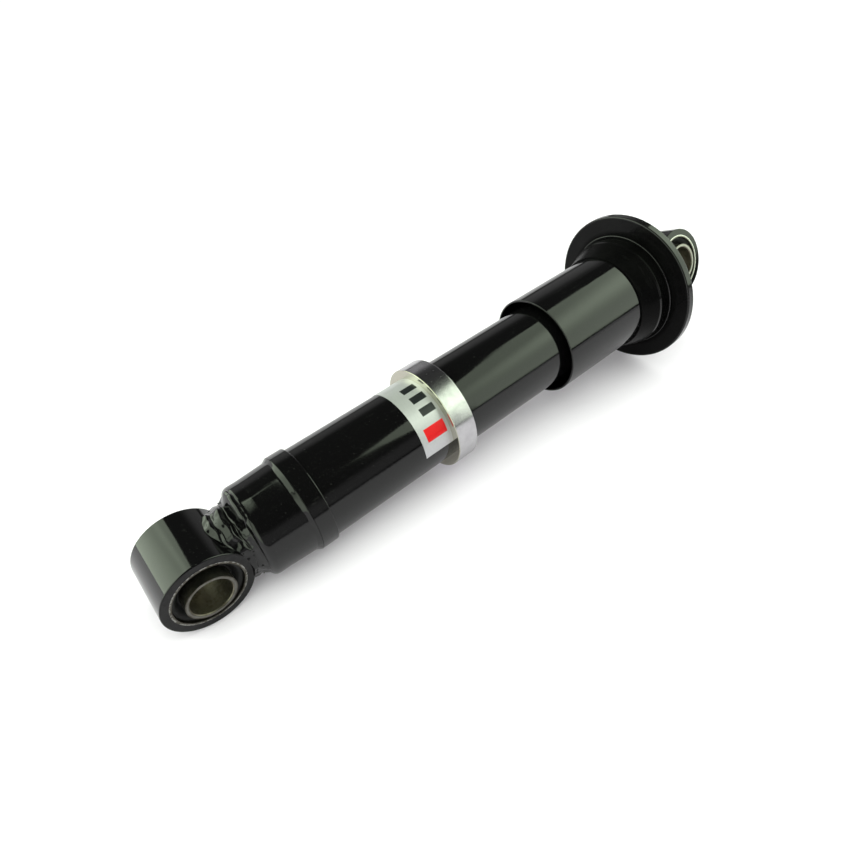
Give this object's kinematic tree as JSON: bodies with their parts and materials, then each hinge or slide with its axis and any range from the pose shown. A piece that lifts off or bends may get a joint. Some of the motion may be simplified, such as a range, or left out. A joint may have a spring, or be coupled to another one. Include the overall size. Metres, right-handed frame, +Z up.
{
  "type": "shock absorber",
  "caption": "Twin-tube telescopic shock absorber with rubber-bushed eye ends, a welded lower collar, a dust shroud and an upper coil-spring seat.",
  "frame": {"origin": "centre of the lower eye's bore", "axes": "+X along the damper's axis from the lower eye to the upper eye, +Y along the lower eye's bore, +Z up as the damper lies on its side"},
  "size_m": [0.3985, 0.098, 0.098],
  "materials": {
    "gloss_black_paint": "gloss",
    "satin_black_paint": "satin",
    "bright_zinc": "polished",
    "silver_label": "gloss",
    "bush_rubber": "matte",
    "bush_steel": "plain",
    "drawn_steel": "plain",
    "spring_steel": "blued",
    "sintered_iron": "plain",
    "hard_chrome": "polished",
    "bearing_bronze": "plain",
    "filled_ptfe": "matte",
    "oil_rubber": "matte",
    "cushion_plastic": "matte"
  },
  "bodies": {
    "damper_tube": {"lower_eye": "gloss_black_paint", "lower_bush_sleeve": "bush_steel", "lower_bush_rubber": "bush_rubber", "bottom_cap": "gloss_black_paint", "lower_eye_weld": "gloss_black_paint", "reserve_tube": "gloss_black_paint", "lower_collar": "gloss_black_paint", "collar_weld": "gloss_black_paint", "locating_ring": "bright_zinc", "label": "silver_label", "foot_valve_body": "sintered_iron", "foot_valve_stud": "drawn_steel", "foot_valve_spring": "spring_steel", "working_cylinder": "drawn_steel", "rod_guide": "sintered_iron", "guide_bearing": "bearing_bronze", "tube_seal_ring": "oil_rubber", "rod_seal": "oil_rubber", "gland_nut": "drawn_steel", "rod_wiper": "oil_rubber"},
    "lower_pin": {"lower_bush_pin_sleeve": "bush_steel"},
    "foot_valve": {"foot_valve_plate": "spring_steel"},
    "sliding_band": {"piston_band": "filled_ptfe"},
    "rod": {"piston_rod": "hard_chrome", "piston": "sintered_iron", "rebound_shims": "spring_steel", "intake_spring": "spring_steel", "intake_stop_washer": "drawn_steel", "rebound_stop_clip": "drawn_steel", "rebound_stop": "cushion_plastic", "piston_nut": "drawn_steel", "dust_shroud": "gloss_black_paint", "shroud_washer": "drawn_steel", "bump_pad": "cushion_plastic", "spring_seat": "satin_black_paint", "upper_eye": "gloss_black_paint", "upper_bush_sleeve": "bush_steel", "upper_bush_rubber": "bush_rubber", "upper_eye_boss": "gloss_black_paint", "upper_eye_weld": "gloss_black_paint"},
    "intake_valve": {"intake_plate": "spring_steel"},
    "upper_pin": {"upper_bush_pin_sleeve": "bush_steel"}
  },
  "joints": [
    {"name": "stroke", "type": "slide", "parent": "damper_tube", "child": "sliding_band", "axis": [1, 0, 0], "range_m": [-0.068, 0], "stiffness_N_per_m": 150, "springref_m": 0.25},
    {"name": "rod_turn", "type": "hinge", "parent": "sliding_band", "child": "rod", "pos_m": [0.1975, 0, 0], "axis": [1, 0, 0], "continuous": true},
    {"name": "lower_bush_twist", "type": "hinge", "parent": "damper_tube", "child": "lower_pin", "pos_m": [0, 0, 0], "axis": [0, 1, 0], "range_deg": [-15, 15], "stiffness_Nm_per_rad": 1},
    {"name": "upper_bush_twist", "type": "hinge", "parent": "rod", "child": "upper_pin", "pos_m": [0.3545, 0, 0], "axis": [0, 0.8988, -0.4384], "range_deg": [-15, 15], "stiffness_Nm_per_rad": 1},
    {"name": "foot_valve_lift", "type": "slide", "parent": "damper_tube", "child": "foot_valve", "axis": [1, 0, 0], "range_m": [0, 0.001], "stiffness_N_per_m": 400, "springref_m": -0.002, "deforming": ["foot_valve_spring"]},
    {"name": "intake_valve_lift", "type": "slide", "parent": "rod", "child": "intake_valve", "axis": [1, 0, 0], "range_m": [0, 0.0007], "stiffness_N_per_m": 400, "springref_m": -0.002, "deforming": ["intake_spring"]}
  ]
}
